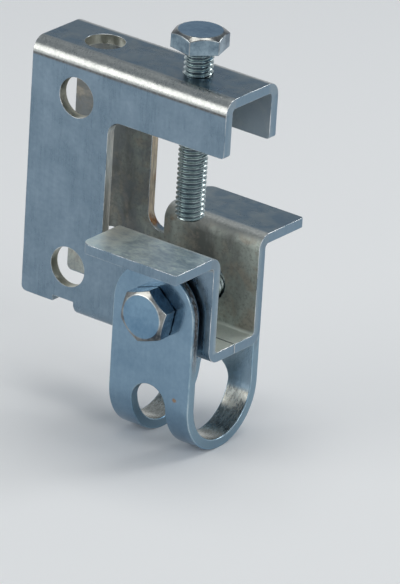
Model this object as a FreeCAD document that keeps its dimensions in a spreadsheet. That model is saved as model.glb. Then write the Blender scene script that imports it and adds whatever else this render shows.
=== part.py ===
"""Beam clamp with a swivel strap: a folded sheet clamp, its set screw, and a slotted strap on a bolt.

Frame: the origin is on the beam seat's plane, on the set screw's axis and in the clamp's middle plane.
+X points out of the jaw, +Y from the pivot bolt's head to its nut, +Z up. Millimetres.
"""
import FreeCAD, Part
import math
import os
import Sketcher

NODES_FOLDER = "parts"
FLAT_TOLERANCE = 1e-4

# Driving sizes: alias, value in millimetres, what it is
SIZES = [
    ("sheet", 3.5, "thickness of the clamp's sheet"),
    ("bend_inside", 1.5, "inside radius of the clamp's bends"),
    ("body_width", 28.0, "over the two side plates"),
    ("arm_length", 80.0, "back edge to the upper arm's end"),
    ("lower_arm_length", 79.0, "back edge to the lower arm's end"),
    ("leg_width", 32.6, "back edge to the throat"),
    ("upper_arm_depth", 20.0, "top face to the upper arm's lower edges"),
    ("throat", 35.0, "upper arm's lower edges to the beam seat"),
    ("lower_arm_depth", 38.5, "beam seat to the lower arm's underside"),
    ("seat_reach", 20.5, "how far each seat flange stands out from its side plate"),
    ("seat_start", 39.5, "back edge to the seat flanges"),
    ("seat_corner", 3.5, "radius of the seat flanges' inner corners"),
    ("seat_end_corner", 0.8, "radius of the seat flanges' outer corners"),
    ("throat_corner", 5.0, "radius in the throat's upper corner"),
    ("arm_corner", 1.2, "radius of the upper arm's lower end corners"),
    ("relief_corner", 6.0, "radius of the bend relief beside the seat"),
    ("relief_depth", 10.3, "bend relief below the seat"),
    ("foot_start", 22.0, "back edge to the folded-in bottom flanges"),
    ("foot_relief", 8.6, "width of the bend relief beside the bottom flanges"),
    ("foot_relief_spare", 0.2, "bend relief past the bottom bend"),
    ("leg_lift", 3.1, "leg's lower edge above the lower arm's underside"),
    ("leg_corner", 2.0, "radius of the leg's lower back corners"),
    ("seam_gap", 0.3, "between the two bottom flanges"),
    ("hole_from_back", 19.0, "back edge to the leg holes and the web hole"),
    ("leg_hole", 14.0, "diameter of the leg holes"),
    ("upper_hole_depth", 16.0, "top face to the upper leg holes"),
    ("lower_hole_depth", 21.5, "beam seat to the lower leg holes"),
    ("web_hole", 13.5, "diameter of the hole in the top web"),
    ("screw_from_back", 57.5, "back edge to the set screw"),
    ("pivot_from_back", 59.0, "back edge to the pivot holes"),
    ("pivot_hole", 14.0, "diameter of the pivot holes in the side plates"),
    ("pivot_hole_depth", 21.5, "beam seat to the pivot holes"),
    ("thread", 9.9, "outside diameter of both screws' thread"),
    ("running_gap", 0.05, "radial play of a thread or of the bolt where it bears"),
    ("across_flats", 17.0, "hexagon of both heads and of the nut"),
    ("head_height", 6.4, "both heads, with the washer face"),
    ("washer_face", 0.4, "height of the washer face under a head"),
    ("washer_face_size", 15.8, "diameter of the washer face"),
    ("head_crown", 15.2, "diameter of the flat on a head or a nut"),
    ("thread_point", 1.1, "height of the chamfer on a thread's end"),
    ("screw_length", 60.0, "set screw under its head"),
    ("screw_gap", 8.8, "set screw's head above the web"),
    ("nut_height", 8.0, "pivot nut"),
    ("bolt_past_nut", 4.0, "pivot bolt past its nut"),
    ("strap_sheet", 3.5, "thickness of the strap"),
    ("strap_width", 33.0, "strap along the arm"),
    ("strap_gap", 1.5, "between the strap and each side plate"),
    ("strap_drop", 31.0, "bolt to the centre of the strap's bend"),
    ("strap_hole", 11.0, "diameter of the strap's bolt holes"),
    ("slot_width", 14.0, "rod slot"),
    ("slot_drop", 26.3, "bolt to the rod slot's upper ends"),
]

# Places worked out from the sizes, as expressions in the sheet's names
BACK = "-Sizes.screw_from_back"
ARM_END = "Sizes.arm_length - Sizes.screw_from_back"
LOWER_END = "Sizes.lower_arm_length - Sizes.screw_from_back"
LEG_EDGE = "Sizes.leg_width - Sizes.screw_from_back"
SEAT_START = "Sizes.seat_start - Sizes.screw_from_back"
FOOT_START = "Sizes.foot_start - Sizes.screw_from_back"
FOOT_RELIEF_START = "Sizes.foot_start - Sizes.foot_relief - Sizes.screw_from_back"
HOLES_X = "Sizes.hole_from_back - Sizes.screw_from_back"
PIVOT_X = "Sizes.pivot_from_back - Sizes.screw_from_back"
TOP = "Sizes.throat + Sizes.upper_arm_depth"
WEB_UNDER = "Sizes.throat + Sizes.upper_arm_depth - Sizes.sheet"
BOTTOM = "-Sizes.lower_arm_depth"
BOTTOM_INSIDE = "Sizes.sheet - Sizes.lower_arm_depth"
FOOT_RELIEF_TOP = "Sizes.bend_inside + Sizes.sheet + Sizes.foot_relief_spare - Sizes.lower_arm_depth"
LEG_BOTTOM = "Sizes.leg_lift - Sizes.lower_arm_depth"
OUTER = "Sizes.body_width / 2"
INNER = "Sizes.body_width / 2 - Sizes.sheet"
SEAT_EDGE = "Sizes.body_width / 2 + Sizes.seat_reach"
BEND_OUTSIDE = "Sizes.bend_inside + Sizes.sheet"
STRAP_INNER = "Sizes.body_width / 2 + Sizes.strap_gap"
STRAP_OUTER = "Sizes.body_width / 2 + Sizes.strap_gap + Sizes.strap_sheet"
# The bolt hangs in the larger pivot holes: it bears on their lower side
PIVOT_Z = "-Sizes.pivot_hole_depth - Sizes.pivot_hole / 2 + Sizes.thread / 2 + Sizes.running_gap"

doc = FreeCAD.newDocument("BeamClamp")
sheet = doc.addObject("Spreadsheet::Sheet", "Sizes")
for row, (alias, size, meaning) in enumerate(SIZES, start=1):
    sheet.set("A%d" % row, meaning)
    sheet.set("B%d" % row, str(size))
    sheet.setAlias("B%d" % row, alias)
doc.recompute()


def value(expression):
    """The number that an expression gives now."""
    return float(sheet.evalExpression(expression))


def new_body(name):
    body = doc.addObject("PartDesign::Body", name)
    body.Label = name
    return body


def new_sketch(body, name, plane):
    sketch = body.newObject("Sketcher::SketchObject", name)
    support = [feature for feature in body.Origin.OriginFeatures if feature.Role == plane][0]
    sketch.AttachmentSupport = (support, [""])
    sketch.MapMode = "FlatFace"
    return sketch


def bind(sketch, constraint, expression):
    """Adds a dimension and ties it to the sheet."""
    index = sketch.addConstraint(constraint)
    sketch.setExpression("Constraints[%d]" % index, expression)


def draw_steps(sketch, columns, rows):
    """A closed outline of alternating upright and level lines.

    Line k of the upright ones lies at columns[k], and the level line after it at rows[k].
    """
    count = len(columns)
    corners = []
    for k in range(count):
        corners.append((value(columns[k]), value(rows[k - 1])))
        corners.append((value(columns[k]), value(rows[k])))
    points = [FreeCAD.Vector(x, y, 0) for x, y in corners]
    lines = []
    for k, start in enumerate(points):
        end = points[(k + 1) % len(points)]
        lines.append(sketch.addGeometry(Part.LineSegment(start, end), False))
    for k, line in enumerate(lines):
        following = lines[(k + 1) % len(lines)]
        sketch.addConstraint(Sketcher.Constraint("Coincident", line, 2, following, 1))
        if k % 2 == 0:
            sketch.addConstraint(Sketcher.Constraint("Vertical", line))
            column = columns[k // 2]
            bind(sketch, Sketcher.Constraint("DistanceX", -1, 1, line, 1, value(column)), column)
        else:
            sketch.addConstraint(Sketcher.Constraint("Horizontal", line))
            level = rows[k // 2]
            bind(sketch, Sketcher.Constraint("DistanceY", -1, 1, line, 1, value(level)), level)


def draw_circle(sketch, across, up, diameter):
    centre = FreeCAD.Vector(value(across), value(up), 0)
    circle = Part.Circle(centre, FreeCAD.Vector(0, 0, 1), value(diameter) / 2)
    ring = sketch.addGeometry(circle, False)
    bind(sketch, Sketcher.Constraint("DistanceX", -1, 1, ring, 3, centre.x), across)
    bind(sketch, Sketcher.Constraint("DistanceY", -1, 1, ring, 3, centre.y), up)
    bind(sketch, Sketcher.Constraint("Diameter", ring, value(diameter)), diameter)


def pad(body, sketch, name, length, both_ways=False, reverse=False):
    feature = body.newObject("PartDesign::Pad", name)
    feature.Profile = sketch
    feature.SideType = "Symmetric" if both_ways else "One side"
    feature.Reversed = reverse
    feature.setExpression("Length", length)
    doc.recompute()
    return feature


def cut_through(body, sketch, name, both_ways=False, reverse=False):
    """Pockets a sketch through the whole body, and makes sure that it took something away."""
    before = body.Shape.Volume
    feature = body.newObject("PartDesign::Pocket", name)
    feature.Profile = sketch
    feature.Type = "ThroughAll"
    feature.SideType = "Symmetric" if both_ways else "One side"
    feature.Reversed = reverse
    doc.recompute()
    if feature.Shape.Volume >= before:
        raise RuntimeError(name + " cuts nothing")
    return feature


def round_edges(body, name, radius, places):
    """Rounds the straight edges that lie along a direction at the given places.

    A place is (direction, {axis: coordinate}), with axis 0, 1 or 2 for X, Y or Z.
    """
    base = body.Tip
    names = []
    for number, edge in enumerate(base.Shape.Edges, start=1):
        if edge.Curve.TypeId != "Part::GeomLine":
            continue
        middle = edge.valueAt((edge.FirstParameter + edge.LastParameter) / 2)
        along = edge.Vertexes[-1].Point - edge.Vertexes[0].Point
        for direction, wanted in places:
            level = all(abs(along[axis]) < FLAT_TOLERANCE for axis in range(3) if axis != direction)
            at_place = all(abs(middle[axis] - place) < FLAT_TOLERANCE for axis, place in wanted.items())
            if level and at_place:
                names.append("Edge%d" % number)
    if len(names) < len(places):
        raise RuntimeError(name + " misses an edge")
    feature = body.newObject("PartDesign::Fillet", name)
    feature.Base = (base, names)
    feature.setExpression("Radius", radius)
    doc.recompute()
    return feature


def clamp_body():
    """One sheet, folded: two C-shaped side plates, a top web, seat flanges out, bottom flanges in."""
    body = new_body("clamp_body")

    # Side outline over the full width
    outline = new_sketch(body, "SideOutline", "XZ_Plane")
    columns = [BACK, ARM_END, LEG_EDGE, SEAT_START, LOWER_END, FOOT_START, FOOT_RELIEF_START]
    rows = [TOP, "Sizes.throat", "-Sizes.relief_depth", "0", BOTTOM, FOOT_RELIEF_TOP, LEG_BOTTOM]
    draw_steps(outline, columns, rows)
    pad(body, outline, "SidePlates", "Sizes.body_width", both_ways=True)

    # Hollow between the side plates, open at both ends and under the leg
    hollow = new_sketch(body, "HollowOutline", "YZ_Plane")
    draw_steps(hollow, ["-(%s)" % INNER, INNER], [WEB_UNDER, BOTTOM_INSIDE])
    cut_through(body, hollow, "Hollow", both_ways=True)
    leg_gap = new_sketch(body, "LegGapOutline", "XY_Plane")
    draw_steps(leg_gap, [BACK, FOOT_START], [INNER, "-(%s)" % INNER])
    cut_through(body, leg_gap, "LegGap")

    # Seat flanges, folded outwards
    flanges = new_sketch(body, "SeatOutline", "XY_Plane")
    for side in ("", "-"):
        draw_steps(flanges, [SEAT_START, LOWER_END], [side + "(%s)" % SEAT_EDGE, side + "(%s)" % INNER])
    pad(body, flanges, "SeatFlanges", "Sizes.sheet", reverse=True)

    # Bends, and the corners of the blank
    outer, inner, edge = value(OUTER), value(INNER), value(SEAT_EDGE)
    bend_outside = []
    bend_inside = []
    for side in (1, -1):
        bend_outside.append((0, {1: side * outer, 2: value(TOP)}))
        bend_outside.append((0, {1: side * inner, 2: 0.0}))
        bend_outside.append((0, {1: side * outer, 2: value(BOTTOM)}))
        bend_inside.append((0, {1: side * inner, 2: value(WEB_UNDER)}))
        bend_inside.append((0, {1: side * outer, 2: -value("Sizes.sheet")}))
        bend_inside.append((0, {1: side * inner, 2: value(BOTTOM_INSIDE)}))
    round_edges(body, "BendsInside", "Sizes.bend_inside", bend_inside)
    round_edges(body, "BendsOutside", BEND_OUTSIDE, bend_outside)
    throat_corner = {0: value(LEG_EDGE), 2: value("Sizes.throat")}
    round_edges(body, "ThroatCorners", "Sizes.throat_corner", [(1, throat_corner)])
    arm_corner = {0: value(ARM_END), 2: value("Sizes.throat")}
    round_edges(body, "ArmCorners", "Sizes.arm_corner", [(1, arm_corner)])
    relief_corner = {0: value(LEG_EDGE), 2: -value("Sizes.relief_depth")}
    round_edges(body, "ReliefCorners", "Sizes.relief_corner", [(1, relief_corner)])
    leg_corner = {0: value(BACK), 2: value(LEG_BOTTOM)}
    round_edges(body, "LegCorners", "Sizes.leg_corner", [(1, leg_corner)])
    inner_corners = [(2, {0: value(SEAT_START), 1: side * edge}) for side in (1, -1)]
    round_edges(body, "SeatCorners", "Sizes.seat_corner", inner_corners)
    outer_corners = [(2, {0: value(LOWER_END), 1: side * edge}) for side in (1, -1)]
    round_edges(body, "SeatEndCorners", "Sizes.seat_end_corner", outer_corners)

    # Holes across the side plates
    holes = new_sketch(body, "SideHoleOutlines", "XZ_Plane")
    draw_circle(holes, HOLES_X, TOP + " - Sizes.upper_hole_depth", "Sizes.leg_hole")
    draw_circle(holes, HOLES_X, "-Sizes.lower_hole_depth", "Sizes.leg_hole")
    draw_circle(holes, PIVOT_X, "-Sizes.pivot_hole_depth", "Sizes.pivot_hole")
    cut_through(body, holes, "SideHoles", both_ways=True)

    # Holes down through the top web: a plain one, and the set screw's
    web_holes = new_sketch(body, "WebHoleOutlines", "XY_Plane")
    draw_circle(web_holes, HOLES_X, "0", "Sizes.web_hole")
    draw_circle(web_holes, "0", "0", "Sizes.thread + 2 * Sizes.running_gap")
    cut_through(body, web_holes, "WebHoles", reverse=True)

    # Seam where the bottom flanges meet
    seam = new_sketch(body, "SeamOutline", "XY_Plane")
    draw_steps(seam, [BACK, ARM_END], ["Sizes.seam_gap / 2", "-Sizes.seam_gap / 2"])
    cut_through(body, seam, "Seam")
    return body


def swivel_strap():
    """A strip bent to a U, round at its ends, with a slot that runs round the bend."""
    body = new_body("swivel_strap")
    centre = "-Sizes.strap_drop"
    end_height = "Sizes.strap_width / 2"

    # The U, drawn as two half rings with straight legs
    bend = new_sketch(body, "StrapOutline", "YZ_Plane")
    top, low = value(end_height), value(centre)
    outside, inside = value(STRAP_OUTER), value(STRAP_INNER)

    def line(x0, y0, x1, y1):
        start, end = FreeCAD.Vector(x0, y0, 0), FreeCAD.Vector(x1, y1, 0)
        return bend.addGeometry(Part.LineSegment(start, end), False)

    def half_ring(radius):
        circle = Part.Circle(FreeCAD.Vector(0, low, 0), FreeCAD.Vector(0, 0, 1), radius)
        return bend.addGeometry(Part.ArcOfCircle(circle, math.pi, 2 * math.pi), False)

    near_out = line(-outside, top, -outside, low)
    ring_out = half_ring(outside)
    far_out = line(outside, low, outside, top)
    far_end = line(outside, top, inside, top)
    far_in = line(inside, top, inside, low)
    ring_in = half_ring(inside)
    near_in = line(-inside, low, -inside, top)
    near_end = line(-inside, top, -outside, top)
    for first, end, second, start in ((near_out, 2, ring_out, 1), (ring_out, 2, far_out, 1),
                                      (far_in, 2, ring_in, 2), (ring_in, 1, near_in, 1)):
        bend.addConstraint(Sketcher.Constraint("Tangent", first, end, second, start))
    for first, second in ((far_out, far_end), (far_end, far_in), (near_in, near_end), (near_end, near_out)):
        bend.addConstraint(Sketcher.Constraint("Coincident", first, 2, second, 1))
    for upright in (near_out, far_out, far_in, near_in):
        bend.addConstraint(Sketcher.Constraint("Vertical", upright))
    for level in (far_end, near_end):
        bend.addConstraint(Sketcher.Constraint("Horizontal", level))
        bind(bend, Sketcher.Constraint("DistanceY", -1, 1, level, 1, top), end_height)
    bend.addConstraint(Sketcher.Constraint("Coincident", ring_out, 3, ring_in, 3))
    bend.addConstraint(Sketcher.Constraint("PointOnObject", ring_out, 3, -2))
    bind(bend, Sketcher.Constraint("DistanceY", -1, 1, ring_out, 3, low), centre)
    bind(bend, Sketcher.Constraint("Radius", ring_out, outside), STRAP_OUTER)
    bind(bend, Sketcher.Constraint("Radius", ring_in, inside), STRAP_INNER)
    pad(body, bend, "Strap", "Sizes.strap_width", both_ways=True)

    # Round ends about the bolt: the corners outside a half circle go
    ends = new_sketch(body, "EndOutline", "XZ_Plane")
    draw_arch(ends, "0", end_height, "2 * Sizes.strap_width", inside_kept=True)
    cut_through(body, ends, "RoundEnds", both_ways=True)

    # Rod slot, from leg to leg round the bend
    slot = new_sketch(body, "SlotOutline", "XZ_Plane")
    slot_radius = "Sizes.slot_width / 2"
    slot_floor = "-Sizes.strap_drop - 2 * (%s)" % STRAP_OUTER
    draw_arch(slot, "-Sizes.slot_drop - %s" % slot_radius, slot_radius, slot_floor, inside_kept=False)
    cut_through(body, slot, "RodSlot", both_ways=True)

    holes = new_sketch(body, "BoltHoleOutline", "XZ_Plane")
    draw_circle(holes, "0", "0", "Sizes.strap_hole")
    cut_through(body, holes, "BoltHoles", both_ways=True)
    place(body, PIVOT_X, "0", PIVOT_Z)
    return body


def draw_arch(sketch, centre, radius, far_edge, inside_kept):
    """A half circle over its centre, closed to an outline by straight lines.

    The outline is the ground outside the arch, out to far_edge, or the arch with a leg down to far_edge.
    """
    middle, reach, limit = value(centre), value(radius), value(far_edge)
    circle = Part.Circle(FreeCAD.Vector(0, middle, 0), FreeCAD.Vector(0, 0, 1), reach)
    arc = sketch.addGeometry(Part.ArcOfCircle(circle, 0, math.pi), False)
    if inside_kept:
        corners = [(-reach, middle), (-limit, middle), (-limit, limit), (limit, limit), (limit, middle),
                   (reach, middle)]
    else:
        corners = [(-reach, middle), (-reach, limit), (reach, limit), (reach, middle)]
    points = [FreeCAD.Vector(x, y, 0) for x, y in corners]
    lines = []
    for start, end in zip(points, points[1:]):
        lines.append(sketch.addGeometry(Part.LineSegment(start, end), False))
    sketch.addConstraint(Sketcher.Constraint("Coincident", arc, 2, lines[0], 1))
    sketch.addConstraint(Sketcher.Constraint("Coincident", lines[-1], 2, arc, 1))
    for first, second in zip(lines, lines[1:]):
        sketch.addConstraint(Sketcher.Constraint("Coincident", first, 2, second, 1))
    for line, start, end in zip(lines, points, points[1:]):
        level = abs(start.y - end.y) < FLAT_TOLERANCE
        sketch.addConstraint(Sketcher.Constraint("Horizontal" if level else "Vertical", line))
    sketch.addConstraint(Sketcher.Constraint("PointOnObject", arc, 3, -2))
    bind(sketch, Sketcher.Constraint("DistanceY", -1, 1, arc, 3, middle), centre)
    bind(sketch, Sketcher.Constraint("Radius", arc, reach), radius)
    # The half circle's two ends are level with its centre
    for point in (1, 2):
        bind(sketch, Sketcher.Constraint("DistanceY", -1, 1, arc, point, middle), centre)
    if inside_kept:
        bind(sketch, Sketcher.Constraint("DistanceY", -1, 1, lines[2], 1, limit), far_edge)
        bind(sketch, Sketcher.Constraint("DistanceX", -1, 1, lines[2], 2, limit), far_edge)
        bind(sketch, Sketcher.Constraint("DistanceX", lines[2], 1, -1, 1, limit), far_edge)
    else:
        bind(sketch, Sketcher.Constraint("DistanceY", -1, 1, lines[1], 1, limit), far_edge)


def place(feature, x, y, z):
    feature.setExpression(".Placement.Base.x", x)
    feature.setExpression(".Placement.Base.y", y)
    feature.setExpression(".Placement.Base.z", z)


def solid(kind, name, sizes, z="0"):
    """A Part primitive on the local Z axis, with its sizes and its height tied to the sheet."""
    feature = doc.addObject(kind, name)
    for prop, expression in sizes.items():
        feature.setExpression(prop, expression)
    feature.setExpression(".Placement.Base.z", z)
    return feature


def hexagon(name, height, z, turn):
    prism = solid("Part::Prism", name, {"Height": height,
                                        "Circumradius": "Sizes.across_flats / 2 / cos(30)"}, z)
    prism.Polygon = 6
    prism.Placement = FreeCAD.Placement(prism.Placement.Base, FreeCAD.Rotation(FreeCAD.Vector(0, 0, 1), turn))
    prism.setExpression(".Placement.Base.z", z)
    return prism


def crown(name, height, z):
    """The cone that chamfers a hexagon's upper corners at thirty degrees."""
    cone = solid("Part::Cone", name, {"Height": height,
                                      "Radius1": "Sizes.head_crown / 2 + (%s) / tan(30)" % height,
                                      "Radius2": "Sizes.head_crown / 2"}, z)
    return cone


def join(kind, name, shapes):
    feature = doc.addObject(kind, name)
    feature.Shapes = shapes
    return feature


def hex_screw(name, length, turn):
    """A hexagon screw on local Z: washer face at zero, head above, thread below with a chamfered end."""
    body_height = "Sizes.head_height - Sizes.washer_face"
    head = join("Part::MultiCommon", name + "_head",
                [hexagon(name + "_hexagon", body_height, "Sizes.washer_face", turn),
                 crown(name + "_crown", body_height, "Sizes.washer_face")])
    face = solid("Part::Cylinder", name + "_face", {"Radius": "Sizes.washer_face_size / 2",
                                                    "Height": "Sizes.washer_face"})
    shank_length = "(%s) - Sizes.thread_point" % length
    shank = solid("Part::Cylinder", name + "_shank", {"Radius": "Sizes.thread / 2",
                                                      "Height": shank_length}, "-(%s)" % shank_length)
    point = solid("Part::Cone", name + "_point",
                  {"Radius1": "Sizes.thread / 2 - Sizes.thread_point", "Radius2": "Sizes.thread / 2",
                   "Height": "Sizes.thread_point"}, "-(%s)" % length)
    screw = join("Part::MultiFuse", name, [head, face, shank, point])
    screw.Label = name
    return screw


def set_screw():
    turn = 46.6
    screw = hex_screw("set_screw", "Sizes.screw_length", turn)
    place(screw, "0", "0", TOP + " + Sizes.screw_gap")
    return screw


def pivot_bolt():
    turn = 19.0
    length = "2 * (%s) + Sizes.nut_height + Sizes.bolt_past_nut" % STRAP_OUTER
    bolt = hex_screw("pivot_bolt", length, turn)
    # Local +Z, out of the head, points to -Y
    bolt.Placement = FreeCAD.Placement(FreeCAD.Vector(), FreeCAD.Rotation(FreeCAD.Vector(1, 0, 0), 90))
    place(bolt, PIVOT_X, "-(%s)" % STRAP_OUTER, PIVOT_Z)
    return bolt


def pivot_nut():
    """A hexagon nut, chamfered on both faces, bored to the thread."""
    name = "pivot_nut"
    turn = 20.0
    height = "Sizes.nut_height"
    upper = crown(name + "_upper_crown", height, "0")
    lower = solid("Part::Cone", name + "_lower_crown",
                  {"Height": height, "Radius1": "Sizes.head_crown / 2",
                   "Radius2": "Sizes.head_crown / 2 + (%s) / tan(30)" % height})
    block = join("Part::MultiCommon", name + "_block",
                 [hexagon(name + "_hexagon", height, "0", turn), upper, lower])
    bore = solid("Part::Cylinder", name + "_bore", {"Radius": "Sizes.thread / 2 + Sizes.running_gap",
                                                    "Height": height})
    nut = doc.addObject("Part::Cut", name)
    nut.Base, nut.Tool = block, bore
    nut.Label = name
    # Local +Z points to +Y, away from the strap
    nut.Placement = FreeCAD.Placement(FreeCAD.Vector(), FreeCAD.Rotation(FreeCAD.Vector(1, 0, 0), -90))
    place(nut, PIVOT_X, STRAP_OUTER, PIVOT_Z)
    return nut


nodes = [clamp_body(), set_screw(), swivel_strap(), pivot_bolt(), pivot_nut()]
doc.recompute()

for item in doc.Objects:
    if "Invalid" in item.State or "Error" in item.State:
        raise RuntimeError(item.Name + " did not build")
for node in nodes:
    if node.Shape.isNull() or not node.Shape.isValid() or len(node.Shape.Solids) != 1:
        raise RuntimeError(node.Label + " is not one sound solid")

os.makedirs(NODES_FOLDER, exist_ok=True)
for node in nodes:
    node.Shape.exportStep(os.path.join(NODES_FOLDER, node.Label + ".step"))
    box = node.Shape.BoundBox
    print(node.Label, "%.1f cm3" % (node.Shape.Volume / 1000),
          "x %.2f..%.2f y %.2f..%.2f z %.2f..%.2f" % (box.XMin, box.XMax, box.YMin, box.YMax, box.ZMin, box.ZMax))
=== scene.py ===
"""Looks of the beam clamp: zinc-plated sheet, real screw threads, worn edges with painted glints, painted
light and shade in places, and the spots of rust.
"""
import bpy
import bmesh
import math
from mathutils import Matrix, Vector


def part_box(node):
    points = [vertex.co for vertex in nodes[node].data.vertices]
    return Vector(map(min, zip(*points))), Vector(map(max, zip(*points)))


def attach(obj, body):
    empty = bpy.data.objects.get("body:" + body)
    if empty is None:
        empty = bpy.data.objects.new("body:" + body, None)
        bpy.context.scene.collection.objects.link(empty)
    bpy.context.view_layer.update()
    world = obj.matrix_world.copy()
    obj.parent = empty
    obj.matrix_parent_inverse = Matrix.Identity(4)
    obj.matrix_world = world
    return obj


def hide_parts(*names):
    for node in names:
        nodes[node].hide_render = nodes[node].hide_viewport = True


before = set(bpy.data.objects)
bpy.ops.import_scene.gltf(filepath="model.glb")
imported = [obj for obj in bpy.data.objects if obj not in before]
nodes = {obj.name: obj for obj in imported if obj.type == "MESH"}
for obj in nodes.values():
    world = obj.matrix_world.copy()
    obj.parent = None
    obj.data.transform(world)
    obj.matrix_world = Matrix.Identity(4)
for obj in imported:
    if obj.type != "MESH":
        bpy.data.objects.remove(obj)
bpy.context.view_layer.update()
MM = 0.001
SCREW_LOW, SCREW_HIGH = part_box("set_screw")
STRAP_LOW, STRAP_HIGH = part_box("swivel_strap")
BOLT_LOW, BOLT_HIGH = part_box("pivot_bolt")
NUT_LOW, NUT_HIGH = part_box("pivot_nut")

# Screws, M10: sizes that the CAD boxes don't give
HEAD_HEIGHT = 6.4 * MM
WASHER_FACE = 0.4 * MM
WASHER_FACE_RADIUS = 7.9 * MM
ACROSS_FLATS = 17.0 * MM
CROWN_RADIUS = 7.6 * MM
CROWN_RIM = 0.93 * CROWN_RADIUS
CHAMFER_SLOPE = math.tan(math.radians(30))
THREAD_RADIUS = 4.95 * MM
THREAD_ROOT = 4.08 * MM
PITCH = 1.7 * MM
POINT_LENGTH = 1.1 * MM
NUT_MOUTH = 0.5 * MM
NUT_PLAY = 0.05 * MM
HEAD_TURN = {"set_screw": 46.6, "pivot_bolt": 19.0, "pivot_nut": 20.0}

# One turn of thread: share of the pitch, and share of the thread's depth there
THREAD_PROFILE = ((0.00, 0.0), (0.11, 0.02), (0.20, 0.25), (0.41, 0.92), (0.46, 1.0), (0.54, 1.0),
                  (0.59, 0.92), (0.80, 0.25), (0.89, 0.02))
THREAD_STEPS = 48
RING_STEPS = 96

# Material slots of a head, with the second one for every piece's bevels, and of a thread
FLAT, ARRIS, SIDE, CHAMFER = 0, 1, 2, 3
# A thread's root slot is painted shade in its grooves; its crest slot is a paler zinc with a painted sheen
CREST, ROOT = 0, 1

# Rounding of the edges, and how a mesh's flat and sharp places are told
CLAMP_EDGE = 0.3 * MM
STRAP_EDGE = 0.35 * MM
HEAD_EDGE = 0.22 * MM
NUT_EDGE = 0.25 * MM
SHARP_ANGLE = math.radians(32)
FLAT_ANGLE = math.radians(0.2)
WELD_REACH = 0.002 * MM
SEAM_REACH = 0.001 * MM

# Clamp body and strap: sizes and places that their looks go by
SHEET = 3.5 * MM
HOLE_X = -38.5 * MM
LEG_HOLES_Z = (39.0 * MM, -21.5 * MM)
LEG_HOLE_RADIUS = 7.0 * MM
WEB_HOLE_RADIUS = 6.75 * MM
STRAP_INSIDE = STRAP_HIGH.y - SHEET
STRAP_BEND_Z = STRAP_LOW.z + STRAP_HIGH.y

# Zones of the clamp body, in millimetres: a zone fades in from each first number to each second one
CLAMP_ZONES = {
    "inside": (("depth", 12.6, 10.9), ("z", 51.8, 51.2), ("z", -35.4, -34.8)),
    "bottom": (("z", -31.0, -33.0),),
    "web_top": (("z", 54.0, 54.6),),
    "top_bend": (("depth", 8.6, 9.6), ("z", 49.4, 50.6)),
    "seat_bend": (("depth", 16.2, 15.0), ("z", -5.5, -4.0), ("z", 2.0, 1.0), ("x", -19.5, -18.5)),
    # A thin dark line painted at the foot of the top bend: a painted reflection of a dark horizon
    "painted_reflection_line": (("z", 49.2, 49.8), ("z", 50.6, 50.1), ("depth", 12.0, 13.0)),
    "arm": (("z", 33.0, 35.0), ("x", -8.0, 6.0)),
    "arm_end": (("x", 14.0, 16.0),),
    "leg": (("x", -19.0, -24.0),),
    "throat_edge": (("x", -19.0, -21.0), ("x", -30.0, -27.0)),
    "seat": (("depth", 11.5, 15.5), ("z", 20.0, 10.0)),
    "seat_tip": (("x", -6.0, -15.0),),
    "far_seat": (("y", 14.5, 16.5), ("z", 20.0, 10.0)),
}

# Zones of the strap, in millimetres: through the sheet from its inner face, and above the start of its bend
STRAP_ZONES = {
    "inner_face": (("through", 0.6, 0.2),),
    "broken": (("ragged", 2.5, 2.1), ("ragged", 0.3, 0.7)),
    "upper_legs": (("above", 10.0, 26.0),),
    "drawn": (("above", -3.0, -4.5),),
}

# Noises on a piece's own coordinates: repeats to the metre, stretch, detail, roughness and distortion
EVEN = (1.0, 1.0, 1.0)
TEXTURES = {
    "clouds": (90.0, EVEN, 5.0, 0.6, 0.0),
    "spots": (700.0, EVEN, 3.0, 0.55, 0.0),
    "grain": (900.0, EVEN, 3.0, 0.7, 0.0),
    "patches": (130.0, EVEN, 6.0, 0.65, 0.6),
    "pits": (1100.0, EVEN, 4.0, 0.7, 0.0),
    "stains": (60.0, (1.0, 1.0, 0.35), 5.0, 0.6, 0.0),
    "swirls": (190.0, (1.0, 1.0, 0.7), 6.0, 0.6, 1.2),
    "flecks": (620.0, (0.5, 1.0, 1.0), 6.0, 0.75, 0.0),
    "shear_marks": (1500.0, (1.0, 1.0, 0.12), 3.0, 0.7, 0.0),
    "rim_marks": (1300.0, (1.0, 1.0, 0.3), 4.0, 0.7, 0.0),
    "drawn_marks": (1300.0, (1.0, 0.4, 0.4), 5.0, 0.65, 0.0),
    "rust_grain": (420.0, EVEN, 5.0, 0.55, 0.0),
    "rust_tones": (800.0, EVEN, 4.0, 0.55, 0.0),
}

# Plain zinc: the shares of clouds, spots and grain in its tone, how far from the mean tone its colours lie,
# and the bumps of clouds, grain and spots, each with a strength and a depth
TONE_SHARES = (0.55, 0.25, 0.2)
TONE_REACH = 0.17
BUMPS = ((0.25, 0.6 * MM), (0.12, 0.08 * MM), (0.10, 0.1 * MM))

# Linear colours; a pair is the dark and the light end of a mottle
BACKDROP = (0.68, 0.70, 0.73)
ROOM = (0.26, 0.29, 0.32)
FLOOR = (0.86, 0.87, 0.88)
WARM_LIGHT = (1.0, 0.98, 0.94)
WARMER_LIGHT = (1.0, 0.97, 0.92)
INNER_ZINC = ((0.19, 0.20, 0.19), (0.60, 0.66, 0.60))
INNER_BROWN = (0.44, 0.40, 0.33)
INNER_ARM = (0.26, 0.33, 0.39)
INNER_LEG = (0.22, 0.25, 0.27)
# Painted light: near-white zinc on top of the bottom web, brightening it where the channel's shade falls
BOTTOM_PAINTED_LIGHT = (0.86, 0.92, 0.83)
WEB_ZINC = ((0.12, 0.20, 0.27), (0.24, 0.29, 0.31))
# The bends' zinc, painted paler and more neutral as a sheen that whitens the lamps' highlights there
BEND_ZINC_AND_SHEEN = ((0.37, 0.39, 0.38), (0.58, 0.59, 0.57))
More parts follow.
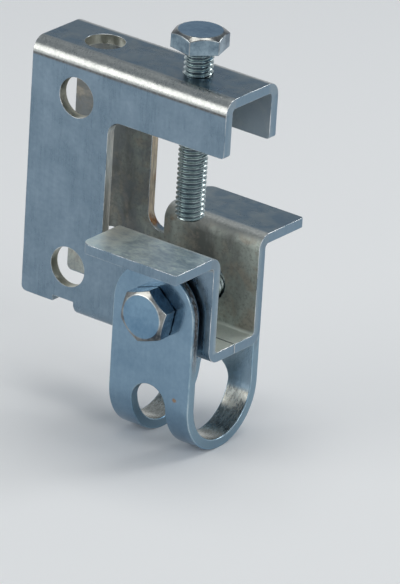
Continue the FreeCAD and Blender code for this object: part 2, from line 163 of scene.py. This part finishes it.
# Painted reflection: the dark line of a horizon at the foot of the top bend
PAINTED_REFLECTION_DARK = (0.10, 0.09, 0.08)
SEAT_ZINC = ((0.42, 0.54, 0.62), (0.72, 0.82, 0.80))
SEAT_TIP = (0.86, 0.82, 0.72)
SHEARED_ZINC = ((0.28, 0.33, 0.36), (0.56, 0.60, 0.60))
END_ZINC = (0.21, 0.31, 0.40)
GILT_ZINC = ((0.26, 0.19, 0.12), (0.56, 0.46, 0.32))
# Hole walls: stained zinc, with its light end partly painted light on the walls that face up
WALL_ZINC_AND_PAINTED_LIGHT = ((0.34, 0.34, 0.27), (0.78, 0.76, 0.64))
# Paler zinc on the strap's inner faces: a painted reflection
STRAP_INNER_PAINTED_REFLECTION = (0.50, 0.64, 0.73)
DRAWN_ZINC = ((0.33, 0.32, 0.28), (0.66, 0.67, 0.62))
RIM_ZINC = (0.24, 0.36, 0.45)
FRACTURE = (0.16, 0.13, 0.11)
RUST = ((0.24, 0.10, 0.03), (0.38, 0.22, 0.10))

# Spots of rust, in millimetres: centre and reach, and the strength of the faint ones
DEEP_RUST = ((-24.0, 12.6, -8.6), 2.6)
FAINT_RUST = (
    ((-14.2, 10.6, -3.6), 2.1, 0.85),
    ((-24.9, 13.4, 7.0), 3.5, 0.35),
    ((-16.9, 10.9, -0.6), 1.0, 0.75),
)
STRAP_RUST = ((12.2, -19.0, -52.3), 0.9)


# Materials

class Graph:
    """The nodes of one material or world, with a short way to make each kind."""

    def __init__(self, tree):
        self.tree = tree
        self.coordinates = tree.nodes.new("ShaderNodeTexCoord")

    def feed(self, target, source):
        """Links a node's output, or sets a plain number or colour, on an input."""
        if isinstance(source, bpy.types.NodeSocket):
            self.tree.links.new(source, target)
        elif isinstance(source, tuple):
            target.default_value = (*source, 1.0)
        else:
            target.default_value = source

    def calculate(self, operation, first, second=0.0):
        node = self.tree.nodes.new("ShaderNodeMath")
        node.operation = operation
        self.feed(node.inputs[0], first)
        self.feed(node.inputs[1], second)
        return node.outputs[0]

    def chain(self, operation, sources):
        result = sources[0]
        for source in sources[1:]:
            result = self.calculate(operation, result, source)
        return result

    def add(self, *terms):
        return self.chain("ADD", terms)

    def product(self, *factors):
        return self.chain("MULTIPLY", factors)

    def largest(self, *sources):
        return self.chain("MAXIMUM", sources)

    def magnitude(self, source):
        return self.calculate("ABSOLUTE", source)

    def length(self, first, second):
        """How far two steps at right angles lead."""
        return self.calculate("SQRT", self.add(self.product(first, first), self.product(second, second)))

    def remap(self, source, low, high, to_low=0.0, to_high=1.0):
        """Carries the span from low to high over to another one, and holds its ends beyond it."""
        node = self.tree.nodes.new("ShaderNodeMapRange")
        self.feed(node.inputs["Value"], source)
        for name, number in (("From Min", low), ("From Max", high), ("To Min", to_low), ("To Max", to_high)):
            node.inputs[name].default_value = number
        return node.outputs["Result"]

    def mix(self, amount, first, second):
        node = self.tree.nodes.new("ShaderNodeMix")
        node.data_type = "RGBA"
        for number, source in ((0, amount), (6, first), (7, second)):
            self.feed(node.inputs[number], source)
        return node.outputs[2]

    def mottle(self, noise, low, high, colours):
        """From the dark to the light colour as a noise goes from low to high."""
        return self.mix(self.remap(noise, low, high), *colours)

    def bump(self, height, strength, distance, below):
        node = self.tree.nodes.new("ShaderNodeBump")
        node.inputs["Strength"].default_value = strength
        node.inputs["Distance"].default_value = distance
        self.tree.links.new(height, node.inputs["Height"])
        if below is not None:
            self.tree.links.new(below, node.inputs["Normal"])
        return node.outputs["Normal"]

    def parts(self, vector):
        node = self.tree.nodes.new("ShaderNodeSeparateXYZ")
        self.tree.links.new(vector, node.inputs[0])
        return node.outputs

    def own_coordinates(self):
        """Place and surface direction in the piece's own frame, each as three numbers."""
        outputs = self.coordinates.outputs
        return self.parts(outputs["Object"]), self.parts(outputs["Normal"])

    def texture(self, name, other_stretch=None):
        """One of the noises in TEXTURES, with its own stretch or another."""
        scale, stretch, detail, roughness, distortion = TEXTURES[name]
        mapping = self.tree.nodes.new("ShaderNodeMapping")
        mapping.inputs["Scale"].default_value = other_stretch or stretch
        self.tree.links.new(self.coordinates.outputs["Object"], mapping.inputs["Vector"])
        node = self.tree.nodes.new("ShaderNodeTexNoise")
        self.tree.links.new(mapping.outputs["Vector"], node.inputs["Vector"])
        for target, number in (("Scale", scale), ("Detail", detail), ("Roughness", roughness),
                               ("Distortion", distortion)):
            node.inputs[target].default_value = number
        return node.outputs["Fac"]

    def zone(self, measures, spans):
        """One where each measure named in the spans, in millimetres, is past its second number."""
        fades = [self.remap(measures[name], nought * MM, one * MM) for name, nought, one in spans]
        return self.product(*fades)

    def spot(self, centre, reach, ragged):
        """One inside a ragged ball, nought outside it; its centre and reach are in millimetres."""
        away = self.tree.nodes.new("ShaderNodeVectorMath")
        away.operation = "DISTANCE"
        self.tree.links.new(self.coordinates.outputs["Object"], away.inputs[0])
        away.inputs[1].default_value = [number * MM for number in centre]
        wander = self.remap(ragged, 0.3, 0.7, -0.6 * reach * MM, 0.6 * reach * MM)
        return self.remap(self.add(away.outputs["Value"], wander), reach * MM, 0.45 * reach * MM)


def new_material(name):
    material = bpy.data.materials.new(name)
    material.use_nodes = True
    tree = material.node_tree
    tree.nodes.clear()
    output = tree.nodes.new("ShaderNodeOutputMaterial")
    shader = tree.nodes.new("ShaderNodeBsdfPrincipled")
    tree.links.new(shader.outputs["BSDF"], output.inputs["Surface"])
    return material, shader


def zinc(name, dark, light, roughness, grain=EVEN, mottle=1.0, relief=1.0, dress=None):
    """Zinc plating: a soft mottle in tone and gloss, a fine grain along one way, and a few shallow dings.

    roughness is the lowest and the highest one, and grain is the stretch of the grain. dress takes the graph,
    the colour and the roughness, and gives back the colour, the roughness and how metallic each place is.
    """
    material, shader = new_material(name)
    graph = Graph(material.node_tree)
    clouds, spots, fine = graph.texture("clouds"), graph.texture("spots"), graph.texture("grain", grain)
    shares = (TONE_SHARES[0] * mottle, *TONE_SHARES[1:])
    tone = graph.add(*(graph.product(noise, share) for noise, share in zip((clouds, spots, fine), shares)))
    middle = sum(shares) / 2
    colour = graph.mottle(tone, middle - TONE_REACH, middle + TONE_REACH, (dark, light))
    gloss = graph.add(graph.product(clouds, 0.5), graph.product(fine, 0.5))
    dull = graph.remap(gloss, 0.35, 0.65, *roughness)
    metallic = 1.0
    if dress:
        colour, dull, metallic = dress(graph, colour, dull)
    graph.feed(shader.inputs["Base Color"], colour)
    graph.feed(shader.inputs["Roughness"], dull)
    graph.feed(shader.inputs["Metallic"], metallic)
    normal = None
    for height, (strength, depth) in zip((clouds, fine, spots), BUMPS):
        normal = graph.bump(height, strength * relief, depth, normal)
    graph.feed(shader.inputs["Normal"], normal)
    return material


def inner_zinc(graph, x, z, patches, pits, stains):
    """Blotchy zinc inside the folds: darker towards the back, paler towards the bottom, brown in patches."""
    level = graph.add(stains, graph.remap(x, -22.0 * MM, 22.0 * MM, -0.07, 0.05),
                      graph.remap(z, 0.0, -34.0 * MM, -0.03, 0.06))
    colour = graph.mottle(level, 0.38, 0.62, INNER_ZINC)
    colour = graph.mix(graph.remap(patches, 0.48, 0.62, 0.0, 0.8), colour, INNER_BROWN)
    return graph.mix(graph.remap(pits, 0.48, 0.66, 0.0, 0.6), colour, INNER_ZINC[0])


def seat_zinc(graph, x, patches):
    """Flecked zinc on top of the near seat, paler towards its back."""
    blotches = graph.product(graph.calculate("SUBTRACT", patches, 0.5), 0.4)
    flecks = graph.add(graph.texture("flecks"), blotches, graph.remap(x, -16.0 * MM, 20.0 * MM, 0.10, -0.08))
    return graph.mottle(flecks, 0.36, 0.62, SEAT_ZINC)


def hole_wall(graph, across, along, facing, radius):
    """One on a round hole's wall: within reach of its axis, and not facing along the axis."""
    away = graph.length(across, along)
    return graph.product(graph.remap(away, radius + 0.4 * MM, radius + 0.2 * MM),
                         graph.remap(graph.magnitude(facing), 0.5, 0.2))


def hole_walls(graph, x, y, z, sideways, upwards):
    """One on the walls of the web's hole and of the two pairs of holes in the leg."""
    from_axis = graph.calculate("SUBTRACT", x, HOLE_X)
    walls = [hole_wall(graph, from_axis, y, upwards, WEB_HOLE_RADIUS)]
    for height in LEG_HOLES_Z:
        from_height = graph.calculate("SUBTRACT", z, height)
        walls.append(hole_wall(graph, from_axis, from_height, sideways, LEG_HOLE_RADIUS))
    return graph.largest(*walls)


def clamp_rust(graph, sideways, patches, stains):
    """Rust in the bend reliefs: a deep spot, most of it on the cut faces, and faint ones round it."""
    deep = graph.product(graph.remap(graph.texture("rust_grain"), 0.3, 0.6),
                         graph.remap(graph.magnitude(sideways), 0.7, 0.4, 0.25, 1.0),
                         graph.spot(*DEEP_RUST, patches))
    faint = [graph.product(graph.remap(patches, 0.34, 0.56), graph.spot(centre, reach, stains), strength)
             for centre, reach, strength in FAINT_RUST]
    return graph.largest(deep, *faint)


def dress_clamp(graph, colour, dull):
    """Duller, browner zinc inside the folds, a flecked near seat, sheared edges, rust in the reliefs, and
    painted light: a sheen on the bends, a dark reflection line under the top bend, paler up-facing hole walls
    and a near-white bottom web.
    """
    (x, y, z), (across, sideways, upwards) = graph.own_coordinates()
    measures = {"x": x, "y": y, "z": z, "depth": graph.magnitude(y)}
    zones = {name: graph.zone(measures, spans) for name, spans in CLAMP_ZONES.items()}
    patches, pits, stains = graph.texture("patches"), graph.texture("pits"), graph.texture("stains")
    swirls, streaks = graph.texture("swirls"), graph.texture("shear_marks")
    inside = zones["inside"]

    flat_tops = graph.product(graph.largest(zones["far_seat"], zones["web_top"]),
                              graph.remap(upwards, 0.8, 0.95))
    bends = graph.largest(zones["top_bend"], zones["seat_bend"])
    # Painted reflection: a broken dark line at the foot of the top bend
    painted_reflection_line = graph.product(zones["painted_reflection_line"], graph.remap(pits, 0.3, 0.6, 0.4, 0.9))
    leg = graph.product(inside, zones["leg"], graph.remap(swirls, 0.42, 0.6, 0.55, 0.0))
    near_seat = graph.product(zones["seat"], graph.remap(upwards, 0.5, 0.9),
                              graph.remap(patches, 0.34, 0.58, 0.6, 1.0),
                              graph.remap(y, 2.0 * MM, -2.0 * MM, 0.1, 1.0))
    bottom = graph.product(zones["bottom"], inside, graph.remap(upwards, 0.3, 0.9))
    rust = clamp_rust(graph, sideways, patches, stains)

    # Sheared faces look along x: pale in the throat, plainer at the arms' ends and the back, brown by the leg
    sheared = graph.remap(graph.magnitude(across), 0.75, 0.9)
    throat = graph.product(sheared, graph.remap(x, 5.0 * MM, -5.0 * MM, 0.25, 0.9),
                           graph.remap(x, -30.0 * MM, -27.0 * MM, 0.4, 1.0))
    gilt = graph.product(sheared, zones["throat_edge"], graph.remap(y, -1.0 * MM, 1.0 * MM, 0.4, 1.0),
                         graph.remap(streaks, 0.3, 0.6, 0.6, 0.95))
    brown = graph.mottle(streaks, 0.38, 0.62, GILT_ZINC)
    brown = graph.mix(graph.remap(y, 1.0 * MM, -1.0 * MM), brown, GILT_ZINC[1])

    # Walls of the holes are stained, and paler where they face up: painted light, as if lit from above
    walls = hole_walls(graph, x, y, z, sideways, upwards)
    wall_stains_and_painted_light = graph.add(stains, graph.remap(upwards, -0.4, 0.8, -0.12, 0.12))

    layers = (
        (graph.product(flat_tops, 0.8), graph.mottle(patches, 0.4, 0.65, WEB_ZINC)),
        # Painted sheen: paler, neutral zinc on the bends, so that their highlights come out white
        (bends, graph.mottle(pits, 0.3, 0.7, BEND_ZINC_AND_SHEEN)),
        # Painted reflection: a dark horizon line at the foot of the top bend
        (painted_reflection_line, PAINTED_REFLECTION_DARK),
        (inside, inner_zinc(graph, x, z, patches, pits, stains)),
        (graph.product(inside, zones["arm"], 0.8), INNER_ARM),
        (leg, INNER_LEG),
        (near_seat, seat_zinc(graph, x, patches)),
        (graph.product(near_seat, zones["seat_tip"], 0.7), SEAT_TIP),
        (throat, graph.mottle(streaks, 0.4, 0.62, SHEARED_ZINC)),
        (graph.product(sheared, zones["arm_end"], 0.7), END_ZINC),
        (gilt, brown),
        (graph.product(walls, 0.85), graph.mottle(wall_stains_and_painted_light, 0.4, 0.6, WALL_ZINC_AND_PAINTED_LIGHT)),
        (rust, graph.mottle(graph.texture("rust_tones"), 0.4, 0.6, RUST)),
        # Painted light: the top of the bottom web is brightened inside the shaded channel
        (graph.product(bottom, graph.remap(patches, 0.3, 0.6, 0.7, 1.0)), BOTTOM_PAINTED_LIGHT),
    )
    for amount, paint in layers:
        colour = graph.mix(amount, colour, paint)

    soiled = graph.largest(graph.product(inside, 0.75), rust, bottom, graph.product(gilt, 0.5),
                           graph.product(near_seat, 0.25))
    dull = graph.add(dull, graph.product(graph.largest(inside, sheared), 0.12),
                     graph.largest(graph.product(zones["seat_bend"], 0.2), graph.product(near_seat, 0.12)),
                     graph.product(rust, 0.4))
    return colour, dull, graph.remap(soiled, 0.0, 1.0, 1.0, 0.15)


def dress_strap(graph, colour, dull):
    """A sheared rim, brown where the sheet broke, paler inner faces as a painted reflection, and drawn grain
    inside the bend.
    """
    (_, y, z), (_, sideways, upwards) = graph.own_coordinates()
    above = graph.calculate("SUBTRACT", z, STRAP_BEND_Z)
    below = graph.calculate("MINIMUM", above, 0.0)
    radius = graph.length(y, below)
    through = graph.calculate("SUBTRACT", radius, STRAP_INSIDE)
    radial = graph.add(graph.product(sideways, y), graph.product(upwards, below))
    rim = graph.remap(graph.magnitude(graph.calculate("DIVIDE", radial, radius)), 0.55, 0.3)

    # The break runs ragged through the middle of the sheet, and shows on the upper part of the legs
    streaks = graph.texture("rim_marks")
    ragged = graph.add(through, graph.remap(streaks, 0.3, 0.7, -0.5 * MM, 0.5 * MM))
    measures = {"through": through, "ragged": ragged, "above": above}
    zones = {name: graph.zone(measures, spans) for name, spans in STRAP_ZONES.items()}
    upper = graph.remap(zones["upper_legs"], 0.0, 1.0, 0.05, 1.0)
    edge = graph.mix(graph.product(zones["broken"], upper), RIM_ZINC, FRACTURE)
    edge = graph.mix(graph.product(graph.remap(streaks, 0.5, 0.62), upper), edge, SHEARED_ZINC[1])

    inside = graph.product(zones["inner_face"], graph.calculate("SUBTRACT", 1.0, rim))
    drawn = graph.texture("drawn_marks")
    stretched = graph.product(inside, zones["drawn"])
    layers = (
        (rim, edge),
        (graph.product(graph.spot(*STRAP_RUST, streaks), 0.8), RUST[1]),
        # Painted reflection: paler zinc on the strap's inner faces
        (graph.product(inside, 0.7), STRAP_INNER_PAINTED_REFLECTION),
        (stretched, graph.mottle(drawn, 0.32, 0.68, DRAWN_ZINC)),
    )
    for amount, paint in layers:
        colour = graph.mix(amount, colour, paint)
    dull = graph.add(dull, graph.product(stretched, graph.remap(drawn, 0.4, 0.6, 0.0, 0.08)),
                     graph.product(rim, 0.14))
    return colour, dull, 1.0


# Meshes

def to_object(name, builder, body, node):
    """A piece from a bmesh, smooth but for its sharp edges, that rides on a body and stands for a node."""
    mesh = bpy.data.meshes.new(name)
    builder.normal_update()
    builder.to_mesh(mesh)
    builder.free()
    for polygon in mesh.polygons:
        polygon.use_smooth = True
    mesh.set_sharp_from_angle(angle=SHARP_ANGLE)
    piece = bpy.data.objects.new(name, mesh)
    bpy.context.scene.collection.objects.link(piece)
    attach(piece, body)
    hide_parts(node)
    return piece


def bevel_edges(piece, width, segments=2, angle=35.0):
    modifier = piece.modifiers.new("EdgeRounding", "BEVEL")
    modifier.width = width
    modifier.segments = segments
    modifier.limit_method = "ANGLE"
    modifier.angle_limit = math.radians(angle)
    modifier.harden_normals = False
    modifier.miter_outer = "MITER_ARC"
    modifier.material = ARRIS


def round_node(piece, width):
    """Softens a CAD node's sharp edges: its triangles are joined to flat faces first."""
    piece.data.normals_split_custom_set([(0, 0, 0)] * len(piece.data.loops))
    weld = piece.modifiers.new("Weld", "WELD")
    weld.merge_threshold = WELD_REACH
    flat = piece.modifiers.new("FlatFaces", "DECIMATE")
    flat.decimate_type = "DISSOLVE"
    flat.angle_limit = FLAT_ANGLE
    bevel_edges(piece, width)
    smooth = piece.modifiers.new("FaceNormals", "WEIGHTED_NORMAL")
    smooth.keep_sharp = True
    for polygon in piece.data.polygons:
        polygon.use_smooth = True


def hexagon_reach(angle):
    """Distance from a hexagon's centre to its side, at an angle from a corner."""
    from_side = (angle + math.radians(30)) % math.radians(60) - math.radians(30)
    return ACROSS_FLATS / 2 / math.cos(math.radians(30) - abs(from_side))


def ring(builder, radius, height):
    """Points round local Z; radius may be a function of the angle, and height one of the radius."""
    points = []
    for step in range(RING_STEPS):
        angle = 2 * math.pi * step / RING_STEPS
        reach = radius(angle) if callable(radius) else radius
        level = height(reach) if callable(height) else height
        points.append(builder.verts.new((reach * math.cos(angle), reach * math.sin(angle), level)))
    return points


def skin(builder, first, second, slot=FLAT):
    count = len(first)
    for k in range(count):
        after = (k + 1) % count
        builder.faces.new((first[k], first[after], second[after], second[k])).material_index = slot


def hexagon_head(builder, bottom, top, lower_chamfer):
    """A hexagon with its corners turned down at thirty degrees, on top and, for a nut, underneath."""
    def upper(reach):
        return top - max(reach - CROWN_RADIUS, 0.0) * CHAMFER_SLOPE

    def lower(reach):
        return bottom + max(reach - CROWN_RADIUS, 0.0) * CHAMFER_SLOPE

    rings = [ring(builder, hexagon_reach, lower if lower_chamfer else bottom),
             ring(builder, hexagon_reach, upper), ring(builder, CROWN_RADIUS, top)]
    skin(builder, rings[0], rings[1], SIDE)
    skin(builder, rings[1], rings[2], CHAMFER)
    return rings


def thread(builder, start, end):
    """A right-handed metric thread on local Z, from a turned-down point at the start up to the end."""
    turns = math.ceil((end - start) / PITCH) + 2
    depth = THREAD_RADIUS - THREAD_ROOT
    rows = []
    for turn in range(-1, turns):
        for share, height in THREAD_PROFILE:
            row = []
            for step in range(THREAD_STEPS + 1):
                angle = 2 * math.pi * step / THREAD_STEPS
                z = start + (turn + share + step / THREAD_STEPS) * PITCH
                z = min(max(z, start), end)
                reach = min(THREAD_ROOT + height * depth, THREAD_RADIUS - POINT_LENGTH + (z - start))
                if z in (start, end):
                    reach = min(reach, THREAD_ROOT)
                row.append(builder.verts.new((reach * math.cos(angle), reach * math.sin(angle), z)))
            rows.append(row)
    for number, (first, second) in enumerate(zip(rows, rows[1:])):
        # Root faces get the painted shade, crest faces the paler zinc with its painted sheen
        low = number % len(THREAD_PROFILE) in (0, 1, len(THREAD_PROFILE) - 1)
        for step in range(THREAD_STEPS):
            face = builder.faces.new((first[step], first[step + 1], second[step + 1], second[step]))
            face.material_index = ROOT if low else CREST
    bmesh.ops.remove_doubles(builder, verts=builder.verts, dist=SEAM_REACH)


def hex_screw(name, body, length, origin, along):
    """Head above local zero and a threaded shank below it, then turned to its place."""
    head = bmesh.new()
    rings = hexagon_head(head, WASHER_FACE, HEAD_HEIGHT, lower_chamfer=False)
    middle = ring(head, CROWN_RIM, HEAD_HEIGHT)
    skin(head, rings[2], middle)
    head.faces.new(middle)
    face_top = ring(head, WASHER_FACE_RADIUS, WASHER_FACE)
    face_low = ring(head, WASHER_FACE_RADIUS, 0.0)
    skin(head, face_top, rings[0])
    skin(head, face_low, face_top)
    head.faces.new(list(reversed(face_low)))
    turn = Matrix.Rotation(math.radians(HEAD_TURN[name]), 3, "Z")
    bmesh.ops.rotate(head, verts=head.verts, cent=(0, 0, 0), matrix=turn)
    shank = bmesh.new()
    thread(shank, -length, 0.0)
    boundary = [edge for edge in shank.edges if edge.is_boundary]
    bmesh.ops.holes_fill(shank, edges=boundary, sides=0)
    placing = Matrix.Translation(origin) @ along.to_4x4()
    pieces = []
    for suffix, builder in (("head", head), ("thread", shank)):
        bmesh.ops.recalc_face_normals(builder, faces=builder.faces)
        bmesh.ops.transform(builder, matrix=placing, verts=builder.verts)
        pieces.append(to_object(name + "_" + suffix, builder, body, name))
    bevel_edges(pieces[0], HEAD_EDGE, segments=3, angle=25.0)
    return pieces


def hex_nut(name, body, origin, along):
    """A nut with its corners turned down on both sides, then turned to its place."""
    builder = bmesh.new()
    height = NUT_HIGH.y - NUT_LOW.y
    rings = hexagon_head(builder, 0.0, height, lower_chamfer=True)
    lower_crown = ring(builder, CROWN_RADIUS, 0.0)
    skin(builder, lower_crown, rings[0])
    upper_mouth = ring(builder, THREAD_RADIUS + NUT_MOUTH, height)
    upper_bore = ring(builder, THREAD_RADIUS + NUT_PLAY, height - NUT_MOUTH)
    lower_bore = ring(builder, THREAD_RADIUS + NUT_PLAY, NUT_MOUTH)
    lower_mouth = ring(builder, THREAD_RADIUS + NUT_MOUTH, 0.0)
    for first, second in ((rings[2], upper_mouth), (upper_mouth, upper_bore), (upper_bore, lower_bore),
                          (lower_bore, lower_mouth), (lower_mouth, lower_crown)):
        skin(builder, first, second)
    bmesh.ops.recalc_face_normals(builder, faces=builder.faces)
    turn = Matrix.Rotation(math.radians(HEAD_TURN[name]), 3, "Z")
    bmesh.ops.rotate(builder, verts=builder.verts, cent=(0, 0, 0), matrix=turn)
    placing = Matrix.Translation(origin) @ along.to_4x4()
    bmesh.ops.transform(builder, matrix=placing, verts=builder.verts)
    piece = to_object(name + "_hexagon", builder, body, name)
    bevel_edges(piece, NUT_EDGE, segments=3, angle=25.0)
    return piece


# Kinds of zinc
sheet_steel = zinc("clamp_zinc", (0.165, 0.24, 0.31), (0.27, 0.36, 0.445), (0.24, 0.36),
                   grain=(1.0, 1.0, 0.06), dress=dress_clamp)
strap_steel = zinc("strap_zinc", (0.18, 0.29, 0.40), (0.28, 0.41, 0.53), (0.15, 0.27),
                   grain=(1.0, 1.0, 0.08), relief=0.7, dress=dress_strap)
# The arris zincs of the bevels run up to a pale end: partly wear on the rounded edges, partly painted glints
# along them
worn_and_glinting_steel = zinc("worn_and_glint_arris", (0.18, 0.25, 0.31), (0.92, 0.94, 0.93), (0.16, 0.30), mottle=3.0)
strap_arris = zinc("strap_arris", (0.16, 0.30, 0.43), (0.46, 0.58, 0.64), (0.16, 0.30), mottle=2.2)
head_steel = zinc("head_zinc", (0.15, 0.27, 0.40), (0.25, 0.40, 0.54), (0.08, 0.20), mottle=1.6, relief=0.8)
head_arris = zinc("head_arris", (0.06, 0.08, 0.11), (0.60, 0.64, 0.64), (0.12, 0.24), mottle=2.4)
chamfer_steel = zinc("head_chamfer", (0.06, 0.07, 0.08), (0.38, 0.38, 0.36), (0.10, 0.20), mottle=2.0,
                     relief=0.8)
side_steel = zinc("head_side_zinc", (0.07, 0.12, 0.17), (0.32, 0.42, 0.49), (0.10, 0.20), mottle=2.4,
                  relief=0.8)
# Thread: paler zinc on the crests as a painted sheen, and near-black roots as painted shade in the grooves
crest_steel_and_sheen = zinc("crest_zinc_and_sheen", (0.28, 0.36, 0.38), (0.60, 0.68, 0.66), (0.14, 0.24), mottle=0.8,
                    relief=0.5)
root_steel_painted_shade = zinc("thread_root_painted_shade", (0.05, 0.07, 0.09), (0.12, 0.15, 0.18), (0.25, 0.40), mottle=0.8,
                  relief=0.3)

# Pieces
for name, kinds, width in (("clamp_body", (sheet_steel, worn_and_glinting_steel), CLAMP_EDGE),
                           ("swivel_strap", (strap_steel, strap_arris), STRAP_EDGE)):
    piece = nodes[name]
    piece.data.materials.clear()
    for material in kinds:
        piece.data.materials.append(material)
    round_node(piece, width)

pivot = (BOLT_LOW + BOLT_HIGH) / 2
face = SCREW_HIGH.z - HEAD_HEIGHT
upright = Matrix.Identity(3)
outward = Matrix.Rotation(math.radians(90), 3, "X")
inward = Matrix.Rotation(math.radians(-90), 3, "X")
made = hex_screw("set_screw", "screw", face - SCREW_LOW.z, Vector((0, 0, face)), upright)
made += hex_screw("pivot_bolt", "strap", BOLT_HIGH.y - BOLT_LOW.y - HEAD_HEIGHT,
                  Vector((pivot.x, BOLT_LOW.y + HEAD_HEIGHT, pivot.z)), outward)
made.append(hex_nut("pivot_nut", "strap", Vector((pivot.x, NUT_LOW.y, pivot.z)), inward))
thread_kinds = (crest_steel_and_sheen, root_steel_painted_shade)
head_kinds = (head_steel, head_arris, side_steel, chamfer_steel)
for piece in made:
    for material in thread_kinds if piece.name.endswith("thread") else head_kinds:
        piece.data.materials.append(material)

# Floor
floor_material, floor_shader = new_material("floor")
floor_shader.inputs["Base Color"].default_value = (*FLOOR, 1.0)
floor_shader.inputs["Roughness"].default_value = 0.8
floor_shader.inputs["Specular IOR Level"].default_value = 0.05
builder = bmesh.new()
bmesh.ops.create_grid(builder, x_segments=1, y_segments=1, size=4.0)
floor_mesh = bpy.data.meshes.new("floor")
builder.to_mesh(floor_mesh)
builder.free()
floor = bpy.data.objects.new("floor", floor_mesh)
floor.location = (0, 0, STRAP_LOW.z)
floor.data.materials.append(floor_material)
bpy.context.scene.collection.objects.link(floor)


# Light

def area_light(name, direction, distance, size, radiance, colour=(1.0, 1.0, 1.0)):
    """A soft panel that looks at the clamp from a direction."""
    lamp = bpy.data.lights.new(name, "AREA")
    lamp.shape = "RECTANGLE"
    lamp.size, lamp.size_y = size
    lamp.energy = radiance * math.pi * size[0] * size[1]
    lamp.color = colour
    panel = bpy.data.objects.new(name, lamp)
    toward = Vector(direction).normalized()
    panel.location = toward * distance
    panel.rotation_euler = toward.to_track_quat("Z", "Y").to_euler()
    bpy.context.scene.collection.objects.link(panel)


# The world is a pale backdrop round the floor and a darker room above it
world = bpy.data.worlds.new("studio")
bpy.context.scene.world = world
world.use_nodes = True
sky = Graph(world.node_tree)
height = sky.parts(sky.coordinates.outputs["Generated"])[2]
background = world.node_tree.nodes["Background"]
sky.feed(background.inputs["Color"], sky.mottle(height, 0.18, 0.42, (BACKDROP, ROOM)))
background.inputs["Strength"].default_value = 1.0
area_light("front_left", (-0.54, -0.76, 0.30), 1.2, (0.8, 0.7), 2.0, WARM_LIGHT)
area_light("overhead", (-0.03, 0.10, 1.0), 1.1, (0.65, 0.65), 3.2, WARMER_LIGHT)
area_light("back_right", (0.40, 0.74, 0.54), 1.2, (0.35, 0.35), 6.0)
area_light("front_right", (0.84, -0.20, 0.50), 1.2, (0.45, 0.45), 3.5, WARM_LIGHT)


# Camera: the photograph's view, from a fit to its corners and holes in a frame of 400 by 584 pixels
FRAME_SIZE = (400, 584)
AZIMUTH = math.radians(36.10)
ELEVATION = math.radians(23.59)
ROLL = math.radians(3.544)
FOCAL_PIXELS = 6507.4
DISTANCE = 2145.8 * MM
AIM = Vector((-17.5, 1.0, 5.0)) * MM
SIDEWAYS, UPWARDS = -16.657 * MM, 30.815 * MM
back = Vector((math.sin(AZIMUTH) * math.cos(ELEVATION), -math.cos(AZIMUTH) * math.cos(ELEVATION),
               math.sin(ELEVATION)))
level = Vector((math.cos(AZIMUTH), math.sin(AZIMUTH), 0.0))
upright_axis = back.cross(level)
right = math.cos(ROLL) * level + math.sin(ROLL) * upright_axis
up = math.cos(ROLL) * upright_axis - math.sin(ROLL) * level
camera_data = bpy.data.cameras.new("camera")
camera_data.sensor_fit = "AUTO"
camera_data.sensor_width = 36.0
camera_data.lens = FOCAL_PIXELS / max(FRAME_SIZE) * camera_data.sensor_width
camera_data.clip_start = 0.1
camera_data.clip_end = 20.0
camera = bpy.data.objects.new("camera", camera_data)
bpy.context.scene.collection.objects.link(camera)
spin = Matrix((right, up, back)).transposed()
eye = AIM + back * DISTANCE - right * SIDEWAYS - up * UPWARDS
camera.matrix_world = Matrix.Translation(eye) @ spin.to_4x4()
bpy.context.scene.camera = camera
bpy.context.scene.view_settings.view_transform = "Standard"
